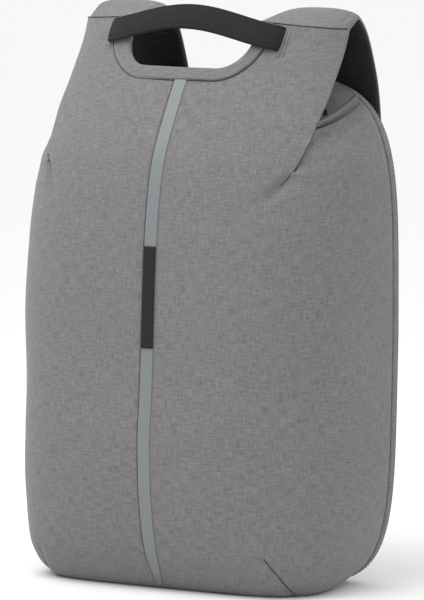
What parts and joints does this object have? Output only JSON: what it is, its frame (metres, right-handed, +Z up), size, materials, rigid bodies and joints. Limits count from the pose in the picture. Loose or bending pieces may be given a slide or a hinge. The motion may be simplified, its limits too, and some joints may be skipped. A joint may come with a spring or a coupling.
{
  "type": "anti theft backpack",
  "caption": "Soft laptop backpack with a smooth front that runs up into the shoulder straps, and a main zip hidden at the wearer's back.",
  "frame": {"origin": "on the floor, at the centre of the standing bag's footprint", "axes": "+Z up, +Y towards the wearer's back, -Y the front with the reflective strip"},
  "size_m": [0.293, 0.1632, 0.4505],
  "materials": {
    "grey_melange": "grey melange weave, matt",
    "black_lining": "smooth black lining",
    "reflective_tape": "silver reflective tape, satin",
    "black_label": "black woven label, bare",
    "zip_tape": "black zip tape",
    "black_mesh": "black spacer mesh over foam",
    "handle_cloth": "black woven cloth, padded",
    "black_webbing": "black woven webbing",
    "black_plastic": "black acetal"
  },
  "bodies": {
    "root": {"shell_right": "grey_melange", "shell_left": "grey_melange", "wing_lining_right": "black_lining", "wing_lining_left": "black_lining", "mouth_rim": "grey_melange", "reflective_strip": "reflective_tape", "label": "black_label", "base_panel": "grey_melange", "border_band": "grey_melange", "concealed_zip": "zip_tape", "back_panel": "black_mesh", "top_handle": "handle_cloth", "strap_cover_right": "grey_melange", "strap_cover_left": "grey_melange", "strap_pad_right": "black_mesh", "strap_pad_left": "black_mesh", "strap_tab_right": "black_webbing", "strap_tab_left": "black_webbing", "adjuster_right": "black_plastic", "adjuster_left": "black_plastic", "lower_webbing_right": "black_webbing", "lower_webbing_left": "black_webbing", "anchor_right": "black_webbing", "anchor_left": "black_webbing"}
  },
  "joints": []
}
